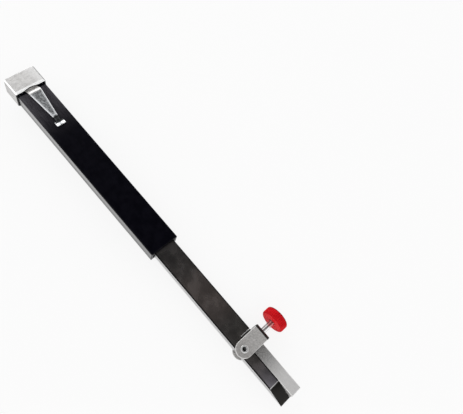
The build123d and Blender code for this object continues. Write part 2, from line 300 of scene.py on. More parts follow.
def make_fine_speckle():
    """Blasted or moulded skin: round noise at one size, with larger soft clouds."""
    group, given, out = node_group(
        "Fine speckle",
        [("Place", "vector", None), ("Speckle", "float", 3800.0), ("Cloud", "float", 420.0)],
        [("Shade", "float"), ("Clouds", "float")])
    shading = Shading(group)
    place = given.outputs["Place"]
    fine = shading.noise(place, detail=3.0, roughness=0.7, scale=given.outputs["Speckle"])
    cloud = shading.noise(place, detail=2.0, scale=given.outputs["Cloud"])
    shading.link(shading.between(fine, 0.3, 0.7, smooth=False), out.inputs["Shade"])
    shading.link(shading.between(cloud, 0.3, 0.7), out.inputs["Clouds"])
    return group


brushed_grain = make_brushed_grain()
fine_speckle = make_fine_speckle()


# Finishes

def grey(level, warmth=0.0):
    """A grey of that linear level, a little warm or cool."""
    return (level * (1 + warmth), level, level * (1 - warmth), 1.0)


def sleeve_steel():
    """Brushed steel of the sleeve, with two tones lengthwise on its walls painted in as a reflection.

    Short marks run across them near the cap.
    Painted shade darkens it towards the mouth, and its cut end is painted dark as shade.
    """
    made, shader, shading = material("sleeve_steel", 1.0, 0.36)
    place = shading.place()
    axes = shading.split(place)
    along = shading.group(brushed_grain, Place=place, Grain=(50.0, 2400.0, 2400.0))
    across = shading.group(brushed_grain, Place=place, Grain=(1500.0, 120.0, 120.0))
    by_cap = shading.between(axes["X"], cap_front_x + 40 * mm, cap_front_x + 5 * mm)
    marks = shading.times(across["Shade"], shading.between(by_cap, 0.0, 1.0, 0.3, 0.8, smooth=False))
    shade = shading.weighted((along["Shade"], 0.5), (marks, 0.7))

    # Painted reflection: the walls are painted lighter above the waist and darker below it.
    upper = shading.mix(shade, grey(0.27, 0.01), grey(0.51))
    lower = shading.mix(shade, grey(0.13), grey(0.27, -0.01))
    waist_z = low("sleeve_channel").z + 3.9 * mm
    upper_reflection_band = shading.between(axes["Z"], waist_z - 0.5 * mm, waist_z + 0.3 * mm)
    colour = shading.mix(upper_reflection_band, lower, upper)
    colour = shading.mix(shading.times(along["Patches"], 0.25), colour, grey(0.30))
    # Painted shade: the sleeve darkens towards the mouth.
    painted_shade_to_mouth = shading.between(axes["X"], 0.0, mouth_x, 0.0, 0.5)
    colour = shading.mix(painted_shade_to_mouth, colour, grey(0.16))
    # Painted shade: the cut end at the mouth is painted near black.
    painted_shade_at_cut_end = shading.between(axes["X"], mouth_x - 0.45 * mm, mouth_x - 0.30 * mm)
    colour = shading.mix(painted_shade_at_cut_end, colour, grey(0.03))

    rough = shading.between(shade, 0.0, 1.0, 0.44, 0.28, smooth=False)
    lay_on(shader, shading, colour, shading.bump(shade, 0.02 * mm, 0.5), rough)
    return made


def black_face():
    """Satin black of the face plate, a patchy painted grey sheen in front of the cap with a painted shadow
    line against it, and a faint painted highlight line along one edge.
    """
    made, shader, shading = material("black_face", 0.0, 0.38, Specular_IOR_Level=0.045)
    place = shading.place()
    axes = shading.split(place)
    rub = shading.group(brushed_grain, Place=place, Grain=(160.0, 1500.0, 1500.0))
    speckle = shading.group(fine_speckle, Place=place, Speckle=2600.0, Cloud=260.0)
    shade = shading.weighted((rub["Shade"], 0.5), (speckle["Shade"], 0.5))

    colour = shading.mix(speckle["Clouds"], (0.0009, 0.0008, 0.0026, 1.0), (0.0026, 0.0024, 0.0050, 1.0))
    # Painted reflection: a patchy grey sheen in front of the cap. It stops short of the cap, leaving a
    # painted shadow line of black against it.
    by_cap = shading.between(axes["X"], cap_front_x + 34 * mm, cap_front_x + 2 * mm)
    clear_of_cap_shadow = shading.between(axes["X"], cap_front_x + 0.8 * mm, cap_front_x + 1.3 * mm)
    patchy = shading.between(shade, 0.15, 0.85, 0.35, 1.0)
    painted_sheen = shading.times(shading.times(by_cap, clear_of_cap_shadow), patchy)
    colour = shading.mix(painted_sheen, colour, (0.085, 0.080, 0.091, 1.0))
    # Painted highlight: a faint light line along one edge of the face, near the cap.
    highlight_line_y = low("face_plate").y + 0.9 * mm
    from_highlight_line = shading.unsigned(shading.minus(axes["Y"], highlight_line_y))
    line = shading.times(shading.between(from_highlight_line, 0.16 * mm, 0.05 * mm, 0.0, 0.8), by_cap)
    colour = shading.mix(line, colour, (0.10, 0.10, 0.11, 1.0))

    rough = shading.between(shade, 0.1, 0.9, 0.30, 0.50, smooth=False)
    lay_on(shader, shading, colour, shading.bump(shade, 0.012 * mm, 0.5), rough)
    return made


def cap_steel():
    """Cap: brushed grey faces with short marks across them, and bright polished chamfers.

    Painted highlights make the faces lighter towards one side and along the front; painted shade darkens the
    walls facing -Y and the far chamfers, and a painted shadow darkens the front's own sides.
    """
    made, shader, shading = material("cap_steel", 1.0, 0.4)
    place = shading.place()
    facing = shading.facing()
    axes = shading.split(place)
    grain = shading.group(brushed_grain, Place=place, Grain=(1600.0, 300.0, 700.0))
    scratches = shading.group(brushed_grain, Place=place, Grain=(420.0, 3600.0, 2400.0))
    speckle = shading.group(fine_speckle, Place=place, Speckle=2600.0, Cloud=380.0)
    shade = shading.weighted((grain["Shade"], 0.4), (scratches["Shade"], 0.3), (speckle["Clouds"], 0.3))
    upright = shading.unsigned(facing["Z"])
    sideways = shading.larger(shading.unsigned(facing["Y"]), shading.unsigned(facing["X"]))
    chamfer = shading.between(shading.larger(upright, sideways), 0.99, 0.93)
    bright = grey(0.97)

    panel = shading.mix(shade, grey(0.46, 0.014), grey(0.80, 0.012))
    # Painted highlight: the faces grow lighter towards +Y.
    painted_highlight_side = shading.between(axes["Y"], 1 * mm, 8 * mm, 0.0, 0.42)
    panel = shading.mix(painted_highlight_side, panel, bright)
    # Painted shade: the walls facing -Y are a little darker.
    painted_shade_wall = shading.between(facing["Y"], -0.8, -0.95, 0.0, 0.2)
    panel = shading.mix(painted_shade_wall, panel, grey(0.3))
    # Painted highlight: a bright strip along the top of the front edge.
    painted_highlight_front = shading.between(axes["X"], cap_front_x - 1.7 * mm, cap_front_x - 1.3 * mm)
    on_top = shading.between(facing["Z"], 0.8, 0.95)
    panel = shading.mix(shading.times(painted_highlight_front, on_top), panel, bright)
    polished = shading.mix(grain["Shade"], grey(0.86), grey(1.0))
    colour = shading.mix(chamfer, panel, polished)
    # Painted shade: the chamfers facing +Y are grey.
    painted_shade_far_edge = shading.times(chamfer, shading.between(facing["Y"], 0.45, 0.6))
    colour = shading.mix(painted_shade_far_edge, colour, grey(0.34))
    # Painted shadow: the front's own sides, next to the sleeve, are near black.
    painted_shadow_front_sides = shading.times(shading.between(facing["X"], 0.3, 0.5), shading.between(upright, 0.5, 0.3))
    colour = shading.mix(painted_shadow_front_sides, colour, grey(0.02))

    panel_rough = shading.between(shade, 0.2, 0.8, 0.50, 0.36, smooth=False)
    rough = shading.mix_value(chamfer, panel_rough, 0.2)
    lay_on(shader, shading, colour, shading.bump(shade, 0.02 * mm, 0.4), rough)
    return made


def plain_metal(name, level, roughness):
    """Plain turned or drawn metal with a fine grain along X and soft patches."""
    made, shader, shading = material(name, 1.0, roughness)
    spread = 0.12
    grain = shading.group(brushed_grain, Place=shading.place(), Grain=(400.0, 1800.0, 1800.0))
    colour = shading.mix(grain["Shade"], grey(level * (1 - spread)), grey(level * (1 + spread)))
    rough = shading.between(grain["Patches"], 0.0, 1.0, roughness * 1.2, roughness * 0.8, smooth=False)
    lay_on(shader, shading, colour, shading.bump(grain["Shade"], 0.008 * mm, 0.4), rough)
    return made


def clip_steel():
    """Spring clip: polished rims, bend and foot, painted highlights on the rims and bend, a mottled satin
    panel, and painted shade on the root and neck.
    """
    made, shader, shading = material("clip_steel", 0.6, 0.2)
    place = shading.place()
    axes = shading.split(place)
    speckle = shading.group(fine_speckle, Place=place, Speckle=1500.0, Cloud=1100.0)
    shade = shading.weighted((speckle["Shade"], 0.45), (speckle["Clouds"], 0.55))

    satin = shading.mix(shading.between(shade, 0.28, 0.72), grey(0.22, -0.03), grey(0.62, -0.03))
    half_width = shading.between(axes["X"], hump_x, neck_x, root_half_width, neck_half_width, smooth=False)
    from_edge = shading.minus(half_width, shading.unsigned(axes["Y"]))
    # Polished rims, painted brighter as a highlight.
    rim = shading.between(from_edge, 0.85 * mm, 0.55 * mm)
    colour = shading.mix(rim, satin, grey(0.92, -0.02))
    # Painted shade: the neck is near black, except for a thin lighter line along its -Y side.
    neck = shading.band(axes["X"], foot_x - 2.7 * mm, foot_x - 1.6 * mm, foot_x + 1.3 * mm, foot_x + 1.7 * mm)
    light_line_in_neck_shade = shading.between(axes["Y"], -1.7 * mm, -2.1 * mm, 0.0, 0.6)
    neck = shading.times(neck, shading.minus(0.96, light_line_in_neck_shade))
    colour = shading.mix(neck, colour, grey(0.01, -0.1))
    # Painted highlight: the bend over the crest is painted bright.
    bend = shading.between(axes["X"], hump_x + 1.7 * mm, hump_x + 0.5 * mm)
    colour = shading.mix(bend, colour, grey(0.76, 0.01))
    # Painted shade: the root under the cap's front is painted darker.
    root = shading.between(axes["X"], hump_x - 0.5 * mm, hump_x - 1.3 * mm)
    colour = shading.mix(root, colour, grey(0.5, 0.03))

    rough = shading.between(shade, 0.2, 0.8, 0.34, 0.18, smooth=False)
    lay_on(shader, shading, colour, shading.bump(shade, 0.03 * mm, 0.35), rough)
    return made


def guide_plastic():
    """Dark moulded plastic of the hidden guides."""
    made, shader, shading = material("guide_plastic", 0.0, 0.55)
    speckle = shading.group(fine_speckle, Place=shading.place(), Speckle=3000.0, Cloud=500.0)
    colour = shading.mix(speckle["Clouds"], grey(0.010), grey(0.018))
    lay_on(shader, shading, colour, shading.bump(speckle["Shade"], 0.02 * mm, 0.4))
    return made


def bar_steel():
    """Bar: dark polished faces with cloudy wear and black margins, and bright ground sides.

    The fixed leg's tip has a painted highlight line and a ramp painted dark as shade.
    """
    made, shader, shading = material("bar_steel", 1.0, 0.24)
    place = shading.place()
    facing = shading.facing()
    axes = shading.split(place)
    x, y, z = axes["X"], axes["Y"], axes["Z"]
    lengthwise = shading.group(brushed_grain, Place=place, Grain=(90.0, 2200.0, 2200.0))
    wear = shading.group(fine_speckle, Place=place, Speckle=700.0, Cloud=140.0)

    face = shading.mix(wear["Clouds"], (0.21, 0.186, 0.178, 1.0), (0.32, 0.286, 0.276, 1.0))
    rubbed_and_shaded = shading.between(wear["Shade"], 0.5, 1.1, 0.0, 0.45)
    face = shading.mix(rubbed_and_shaded, face, grey(0.34))
    face = shading.mix(shading.times(lengthwise["Shade"], 0.3), face, grey(0.10))
    by_bracket = shading.band(x, bracket_start_x - 24 * mm, bracket_start_x - 4 * mm,
                              bracket_start_x + 8 * mm, bracket_start_x + 18 * mm)
    face = shading.mix(shading.times(by_bracket, 0.7), face, grey(0.15, 0.05))
    by_ramp = shading.between(x, ramp_x - 16 * mm, ramp_x)
    face = shading.mix(by_ramp, face, (0.28, 0.265, 0.295, 1.0))
    # Painted shadow: the face plate's shadow on the bar near the mouth.
    painted_shadow_by_mouth = shading.between(x, mouth_x + 24 * mm, mouth_x + 2 * mm, 0.0, 0.55)
    face = shading.mix(painted_shadow_by_mouth, face, grey(0.10))
    warm = shading.band(x, mouth_x + 14 * mm, mouth_x + 28 * mm,
                        bracket_start_x - 18 * mm, bracket_start_x - 8 * mm)
    face = shading.mix(shading.times(warm, 0.35), face, (0.46, 0.37, 0.34, 1.0))

    margin = shading.between(shading.unsigned(y), half_bar - 0.75 * mm, half_bar - 0.5 * mm)
    # Painted shadow: a dark line in the gap between the fixed and the sliding leg.
    past_notch = shading.between(x, notch_x, notch_x + 0.2 * mm)
    painted_shadow_in_split = shading.times(past_notch, shading.between(y, -0.6 * mm, -0.35 * mm))
    face = shading.mix(shading.larger(margin, painted_shadow_in_split), face, grey(0.012))
    back_z = low("main_bar").z
    above_back = shading.between(z, back_z + 0.05 * mm, back_z + 0.15 * mm)
    # Painted shade: the fixed leg's ramp is painted near black.
    ramp = shading.between(x, ramp_x, ramp_x + 0.08 * mm)
    face = shading.mix(shading.times(ramp, above_back), face, grey(0.028, 0.05))
    # Painted highlight: a bright line along the top edge of the ramp.
    painted_highlight_ramp_line = shading.band(x, ramp_x - 0.30 * mm, ramp_x - 0.20 * mm,
                             ramp_x + 0.14 * mm, ramp_x + 0.22 * mm)
    face = shading.mix(shading.times(painted_highlight_ramp_line, above_back), face, grey(0.95))

    side = shading.mix(lengthwise["Shade"], grey(0.50), grey(0.76))
    scribe_z = middle("main_bar").z + 0.2 * mm
    from_scribe = shading.unsigned(shading.minus(z, scribe_z))
    side = shading.mix(shading.between(from_scribe, 0.45 * mm, 0.20 * mm), side, grey(0.24))
    upright = shading.unsigned(facing["Z"])
    sideways = shading.larger(shading.unsigned(facing["Y"]), shading.unsigned(facing["X"]))
    is_side = shading.between(sideways, 0.93, 0.99)
    colour = shading.mix(is_side, face, side)
    is_edge = shading.times(shading.between(upright, 0.92, 0.82), shading.between(sideways, 0.95, 0.88))
    colour = shading.mix(is_edge, colour, grey(0.02))

    face_rough = shading.between(wear["Clouds"], 0.0, 1.0, 0.22, 0.30, smooth=False)
    rough = shading.mix_value(is_side, face_rough, 0.34)
    lay_on(shader, shading, colour, shading.bump(lengthwise["Shade"], 0.012 * mm, 0.35), rough)
    return made


def bracket_steel():
    """Bead blasted bracket with a polished broken edge painted slightly brighter as a highlight, and a darker
    round end.

    The outside of its bend is painted near black as shade.
    """
    made, shader, shading = material("bracket_steel", 0.85, 0.5)
    place = shading.place()
    facing = shading.facing()
    axes = shading.split(place)
    speckle = shading.group(fine_speckle, Place=place, Speckle=2300.0, Cloud=1500.0)
    shade = shading.weighted((speckle["Shade"], 0.55), (speckle["Clouds"], 0.45))

    colour = shading.mix(shade, grey(0.40, 0.025), grey(0.74, 0.02))
    round_end = shading.between(axes["Y"], 3 * mm, -4 * mm, 0.0, 0.32)
    colour = shading.mix(round_end, colour, grey(0.34, 0.04))
    # Painted light: the polished broken edge is painted a little brighter as a highlight, and the lower cheek
    # is painted lighter where it lies in shade.
    upright = shading.unsigned(facing["Z"])
    rim = shading.times(shading.between(upright, 0.97, 0.85), shading.between(upright, 0.3, 0.5))
    back_z = low("clamp_bracket").z
    under = shading.between(axes["Z"], back_z + 1.6 * mm, back_z + 0.9 * mm, 0.0, 0.5)
    colour = shading.mix(shading.larger(rim, under), colour, grey(0.60, 0.01))
    # Painted shade: the outside of the bend and the faces turned to +Y are painted near black.
    bend_y = high("clamp_bracket").y - 1.9 * mm
    painted_shade_on_bend = shading.between(axes["Y"], bend_y, bend_y + 0.3 * mm)
    scale = shading.larger(shading.between(facing["Y"], 0.05, 0.30), painted_shade_on_bend)
    colour = shading.mix(scale, colour, grey(0.025, 0.05))

    rough = shading.mix_value(rim, 0.52, 0.3)
    lay_on(shader, shading, colour, shading.bump(shade, 0.04 * mm, 0.6), rough)
    return made


def rivet_steel():
    """Polished rivet, with its cup painted dark as shade."""
    made, shader, shading = material("rivet_steel", 1.0, 0.1)
    place = shading.place()
    grain = shading.group(brushed_grain, Place=place, Grain=(400.0, 1800.0, 1800.0))
    polished = shading.mix(grain["Shade"], grey(0.62), grey(0.80))
    # Painted shade: the cup is painted near black.
    from_axis = shading.distance(place, rivet_centre, (1.0, 1.0, 0.0))
    cup = shading.between(from_axis, 1.15 * mm, 0.75 * mm)
    colour = shading.mix(cup, polished, grey(0.03))
    lay_on(shader, shading, colour, shading.bump(grain["Shade"], 0.006 * mm, 0.3))
    return made


def leg_steel():
    """Satin ground sliding leg, mottled and darkened with painted shade near the bracket.

    Painted shadow darkens it beyond the bracket, and painted shade darkens the side against the fixed leg.
    """
    made, shader, shading = material("leg_steel", 0.65, 0.45)
    place = shading.place()
    x = shading.split(place)["X"]
    lengthwise = shading.group(brushed_grain, Place=place, Grain=(220.0, 1600.0, 1600.0))
    speckle = shading.group(fine_speckle, Place=place, Speckle=1700.0, Cloud=520.0)
    shade = shading.weighted((lengthwise["Shade"], 0.5), (speckle["Clouds"], 0.5))

    colour = shading.mix(shade, grey(0.70, 0.012), grey(0.88, 0.01))
    # Painted shade: the leg darkens and mottles towards the bracket, where shade falls.
    rubbed_and_shaded = shading.between(x, bracket_end_x + 19 * mm, bracket_end_x - 1 * mm, 0.0, 0.85)
    mottled = shading.mix(shading.between(speckle["Shade"], 0.3, 0.7), grey(0.05, 0.03), grey(0.29, 0.02))
    colour = shading.mix(rubbed_and_shaded, colour, mottled)
    # Painted shadow beyond the bracket, and painted shade on the side facing the fixed leg.
    painted_shadow_past_bracket = shading.between(x, bracket_start_x + 1.5 * mm, bracket_start_x)
    painted_shade_inner_side = shading.times(shading.between(shading.facing()["Y"], -0.8, -0.95),
                               shading.between(x, ramp_x + 0.4 * mm, ramp_x))
    colour = shading.mix(shading.larger(painted_shadow_past_bracket, painted_shade_inner_side), colour, grey(0.04, 0.02))

    rough = shading.between(shade, 0.0, 1.0, 0.52, 0.38, smooth=False)
    lay_on(shader, shading, colour, shading.bump(shade, 0.015 * mm, 0.4), rough)
    return made


def red_knob():
    """Moulded red with a soft gloss and a trace of flow marks.

    Painted light makes it brighter on the near face, and painted shade darkens it round its rims.
    """
    made, shader, shading = material("red_knob", 0.0, 0.35, Specular_IOR_Level=0.03)
    place = shading.place()
    y = shading.split(place)["Y"]
    speckle = shading.group(fine_speckle, Place=place, Speckle=1800.0, Cloud=260.0)

    colour = shading.mix(speckle["Clouds"], (0.56, 0.007, 0.012, 1.0), (0.70, 0.011, 0.017, 1.0))
    # Painted light: the face turned to -Y is painted brighter.
    painted_light_near_face = shading.between(shading.facing()["Y"], -0.7, -0.95, 0.0, 0.75)
    colour = shading.mix(painted_light_near_face, colour, (0.95, 0.022, 0.028, 1.0))
    near_y, far_y = low("knob").y, high("knob").y
    rim_radius = high("knob").x - knob_centre.x
    # Painted shade: dark red round the outer part of both rims.
    far_rim_shade = shading.between(y, far_y - 0.9 * mm, far_y - 0.2 * mm)
    near_rim_shade = shading.between(y, near_y + 0.3 * mm, near_y + 0.1 * mm, 0.0, 0.55)
    from_axis = shading.distance(place, knob_centre, (1.0, 0.0, 1.0))
    outside = shading.between(from_axis, rim_radius - 1.1 * mm, rim_radius - 0.5 * mm, 0.0, 0.85)
    edge = shading.times(shading.larger(far_rim_shade, near_rim_shade), outside)
    colour = shading.mix(edge, colour, (0.12, 0.003, 0.006, 1.0))

    rough = shading.between(speckle["Shade"], 0.0, 1.0, 0.30, 0.42, smooth=False)
    lay_on(shader, shading, colour, shading.bump(speckle["Shade"], 0.01 * mm, 0.3), rough)
    return made


def screw_steel():
    """Polished shank with bright and dark streaks of painted reflection drawn along it."""
    made, shader, shading = material("screw_steel", 0.6, 0.2)
    streaks = shading.group(brushed_grain, Place=shading.place(), Grain=(1300.0, 40.0, 1300.0))
    # Painted reflection: bright and dark streaks along the shank; they also give a faint bump.
    colour = shading.mix(shading.between(streaks["Shade"], 0.35, 0.6), grey(0.22, 0.03), grey(0.95))
    lay_on(shader, shading, colour, shading.bump(streaks["Shade"], 0.01 * mm, 0.3))
    return made


finishes = {
    "sleeve_steel": sleeve_steel(),
    "black_face": black_face(),
    "plug_aluminium": plain_metal("plug_aluminium", 0.72, 0.35),
    "cap_steel": cap_steel(),
    "fastener_steel": plain_metal("fastener_steel", 0.6, 0.28),
    "clip_steel": clip_steel(),
    "guide_plastic": guide_plastic(),
    "bar_steel": bar_steel(),
    "bracket_steel": bracket_steel(),
    "rivet_steel": rivet_steel(),
    "leg_steel": leg_steel(),
    "screw_steel": screw_steel(),
    "red_knob": red_knob(),
}
slot_of = {row["node"]: row["material_slot"] for row in frame["record"]["subparts"]}
body_of = {node: body for body, nodes in frame["record"]["behaviour"]["bodies"].items() for node in nodes}


# Pieces

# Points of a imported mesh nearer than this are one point, in metres
same_point = 1e-7


def dress(piece, finish):
    """Give a piece one finish on every face."""
    piece.data.materials.clear()
    piece.data.materials.append(finishes[finish])


def stand_for(piece, node):
    """Let a finished piece ride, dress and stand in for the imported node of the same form."""
    dress(piece, slot_of[node])
    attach(piece, body_of[node])
    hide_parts(node)


def show(mesh, name):
    """Put a mesh into the scene as an object at the origin."""
    piece = bpy.data.objects.new(name, mesh)
    bpy.context.scene.collection.objects.link(piece)
    return piece


def set_back_over_clip(mesh):
    """The cap's front edge, set back in a shallow arch over the clip.

    The mesh is cut into strips along X, and on the points of the upper front edge x falls by
    depth (1/2 + 1/2 cos(pi y / reach)) for y within the reach.
    """
    depth, reach, edge = 0.75 * mm, 5.4 * mm, 0.45 * mm
    cuts = 25
    form = bmesh.new()
    form.from_mesh(mesh)
    for cut in np.linspace(-reach, reach, cuts):
        everything = form.verts[:] + form.edges[:] + form.faces[:]
        bmesh.ops.bisect_plane(form, geom=everything, dist=same_point, plane_co=(0, cut, 0),
                               plane_no=(0, 1, 0))
    form.to_mesh(mesh)
    form.free()
    points = np.empty(3 * len(mesh.vertices), np.float32)
    mesh.vertices.foreach_get("co", points)
    x, y, z = points.reshape(-1, 3).T
    front = (x > cap_front_x - edge) & (z > face_z) & (np.abs(y) < reach)
    x[front] -= depth * (0.5 + 0.5 * np.cos(pi * y[front] / reach))
    mesh.vertices.foreach_set("co", points)
    mesh.update()


def broken_edges(node, width, reshape=None):
    """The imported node's own form, its triangles merged into faces and its sharp edges rounded.

    A reshape function may change the merged mesh before its edges are rounded.
    """
    sharp = radians(24)
    flat = radians(0.4)
    mesh = frame["nodes"][node].data.copy()
    mesh.name = node + "_finished"
    custom = mesh.attributes.get("custom_normal")
    if custom:
        mesh.attributes.remove(custom)
    form = bmesh.new()
    form.from_mesh(mesh)
    bmesh.ops.remove_doubles(form, verts=form.verts, dist=same_point)
    bmesh.ops.dissolve_limit(form, angle_limit=flat, verts=form.verts, edges=form.edges)
    for face in form.faces:
        face.smooth = True
    for edge in form.edges:
        edge.smooth = True
    form.to_mesh(mesh)
    form.free()
    if reshape:
        reshape(mesh)
    piece = show(mesh, node + "_finished")
    rounding = piece.modifiers.new("rounding", "BEVEL")
    rounding.width = width
    rounding.segments = 2
    rounding.limit_method = "ANGLE"
    rounding.angle_limit = sharp
    rounding.miter_outer = "MITER_ARC"
    evened = piece.modifiers.new("evened", "WEIGHTED_NORMAL")
    evened.keep_sharp = False
    evened.weight = 100
    stand_for(piece, node)


# Surfaces worked out from formulas

def ramp_up(value, start, end):
    """0 before start, 1 after end, and 3 t^2 - 2 t^3 between them, for a whole array."""
    t = np.clip((value - start) / (end - start), 0.0, 1.0)
    return t * t * (3 - 2 * t)


def surface(name, grid):
    """A closed piece in the scene from a grid of points, rows by columns by 3.

    Each face joins (i, j), (i, j + 1), (i + 1, j + 1) and (i + 1, j). The last column joins the first, points
    that fall together at a pole are joined, and the faces are turned outward if the enclosed volume
    (1 / 6) sum a . (b x c) comes out negative.
    """
    rows, columns, _ = grid.shape
    i, j = np.meshgrid(np.arange(rows - 1), np.arange(columns), indexing="ij")
    i, j = i.ravel(), j.ravel()
    here, below = i * columns, (i + 1) * columns
    right = (j + 1) % columns
    quads = np.stack([here + j, here + right, below + right, below + j], axis=1)
    points = grid.reshape(-1, 3)
    a, b, c, d = (points[quads[:, k]] for k in range(4))
    volume = (np.einsum("ij,ij->i", a, np.cross(b, c)) + np.einsum("ij,ij->i", a, np.cross(c, d))).sum() / 6
    if volume < 0:
        quads = quads[:, ::-1]
    pole_gap = 1e-8
    mesh = bpy.data.meshes.new(name)
    mesh.from_pydata(points.tolist(), [], quads.tolist())
    form = bmesh.new()
    form.from_mesh(mesh)
    bmesh.ops.remove_doubles(form, verts=form.verts, dist=pole_gap)
    for face in form.faces:
        face.smooth = True
    form.to_mesh(mesh)
    form.free()
    return show(mesh, name)


def rounded(corners, radii, steps):
    """A flat path through corners, each corner replaced by an arc of its own radius.

    For a corner that turns by an angle, the arc starts r tan(angle / 2) before it, and its points are
    centre + the spoke to the start, turned by 0 to the angle.
    """
    corners = np.array(corners, float)
    path = [corners[:1]]
    for k in range(1, len(corners) - 1):
        before = (corners[k] - corners[k - 1]) / np.linalg.norm(corners[k] - corners[k - 1])
        after = (corners[k + 1] - corners[k]) / np.linalg.norm(corners[k + 1] - corners[k])
        turn = atan2(before[0] * after[1] - before[1] * after[0], before @ after)
        if radii[k] == 0 or abs(turn) < 1e-6:
            path.append(corners[k:k + 1])
            continue
        start = corners[k] - radii[k] * tan(abs(turn) / 2) * before
        inward = np.array([-before[1], before[0]]) * np.sign(turn)
        centre = start + radii[k] * inward
        spoke = start - centre
        swept = np.linspace(0, turn, steps + 1)
        path.append(centre + np.stack([np.cos(swept) * spoke[0] - np.sin(swept) * spoke[1],
                                       np.sin(swept) * spoke[0] + np.cos(swept) * spoke[1]], axis=1))
    path.append(corners[-1:])
    return np.concatenate(path)


def turned(profile, centre, axis, columns, rule=None):
    """Points of a turned form: centre + h axis + r (side cos a + up sin a) for profile rows (h, r).

    A rule may change r from h, r and the angle a, for flutes and threads.
    """
    axis = np.array(axis, float)
    side = np.array([1.0, 0.0, 0.0]) if abs(axis[0]) < 0.5 else np.array([0.0, 1.0, 0.0])
    up = np.cross(axis, side)
    height, radius = profile[:, :1], profile[:, 1:]
    angle = np.arange(columns)[None, :] * 2 * pi / columns
    radius = rule(height, radius, angle) if rule else radius * np.ones_like(angle)
    return (np.array(centre, float) + height[..., None] * axis
            + radius[..., None] * (np.cos(angle)[..., None] * side + np.sin(angle)[..., None] * up))


def make_knob():
    """Moulded knob turned about the screw, with shallow flutes that fade out over its rounded edges.

    r = r0 - depth grip (1/2 + 1/2 cos(flutes a))^2, where grip goes from 0 to 1 over the last part of the
    radius.
    """
    near, far = low("knob"), high("knob")
    screw_near, screw_far = low("thumb_screw"), high("thumb_screw")
    thick = far.y - near.y
    rim = (far.x - near.x) / 2 + 0.01 * mm
    bore = (screw_far.x - screw_near.x) / 2 + 0.05 * mm
    bore_end = screw_far.y - near.y + 0.05 * mm
    edge = 0.9 * mm
    dish = 0.3 * mm
    dish_radius = 4.6 * mm
    flute_depth = 0.28 * mm
    flutes = 40
    columns = 400
    soft, dish_soft = 0.1 * mm, 0.4 * mm
    bore_chamfer = 0.25 * mm
    corners = [(bore_end, 0), (bore_end, bore), (bore_chamfer, bore), (0, bore + bore_chamfer), (0, rim),
               (thick, rim), (thick, dish_radius), (thick - dish, dish_radius - 0.5 * mm), (thick - dish, 0)]
    profile = rounded(corners, [0, soft, soft, soft, edge, edge, dish_soft, dish_soft, 0], steps=9)

    def fluted(height, radius, angle):
        grip = ramp_up(radius, rim - 1.0 * mm, rim - 0.05 * mm)
        return radius - flute_depth * grip * (0.5 + 0.5 * np.cos(flutes * angle)) ** 2

    centre = (knob_centre.x, near.y, knob_centre.z)
    stand_for(surface("knob_turned", turned(profile, centre, (0, 1, 0), columns, fluted)), "knob")


def make_screw():
    """Polished thumb screw with a fine thread near its point.

    r = r0 - depth window (1/2 + 1/2 cos(2 pi h / pitch - a)), a helix that fades in and out over the window.
    """
    point_end, head_end = low("thumb_screw"), high("thumb_screw")
    length = head_end.y - point_end.y
    shank = (head_end.x - point_end.x) / 2
    pitch, depth = 0.5 * mm, 0.2 * mm
    point, soft = 0.4 * mm, 0.1 * mm
    columns = 72
    thread_start, thread_end = 0.5 * mm, 4.3 * mm
    threaded = np.arange(thread_start, thread_end + pitch, pitch / 8)
    body = np.stack([threaded, np.full_like(threaded, shank)], axis=1)
    profile = np.concatenate([np.array([(0, 0), (0, shank - point), (point, shank)]), body,
                              np.array([(length - soft, shank), (length, shank - soft), (length, 0)])])

    def threads(height, radius, angle):
        fade_in = ramp_up(height, thread_start, thread_start + pitch)
        fade_out = 1 - ramp_up(height, thread_end - pitch, thread_end)
        helix = 0.5 + 0.5 * np.cos(2 * pi * height / pitch - angle)
        return radius - depth * fade_in * fade_out * helix

    centre = (screw_centre.x, point_end.y, screw_centre.z)
    screw = surface("thumb_screw_turned", turned(profile, centre, (0, 1, 0), columns, threads))
    stand_for(screw, "thumb_screw")


def make_rivet():
    """Tubular rivet, its head turned over at both ends into a smooth cup.

    Within the cup, h = top - depth (1 - (r / cup)^2).
    """
    half = (high("bracket_rivet").z - low("bracket_rivet").z) / 2
    head = (high("bracket_rivet").x - low("bracket_rivet").x) / 2
    under_head = high("clamp_bracket").z - rivet_centre.z
    shank = 1.48 * mm
    cup, cup_depth = 1.3 * mm, 0.95 * mm
    columns = 72
    outside = rounded([(0, shank), (under_head, shank), (under_head, head), (half, head), (half, cup)],
                      [0, 0, 0.1 * mm, 0.45 * mm, 0], steps=8)
    inward = np.linspace(1.0, 0.0, 15)
    bowl = np.stack([half - cup_depth * (1 - inward ** 2), cup * inward], axis=1)
    upper = np.concatenate([outside, bowl[1:]])
    lower = upper[::-1] * np.array([-1.0, 1.0])
    profile = np.concatenate([lower[:-1], upper])
    rivet = surface("bracket_rivet_turned", turned(profile, rivet_centre, (0, 0, 1), columns))
    stand_for(rivet, "bracket_rivet")


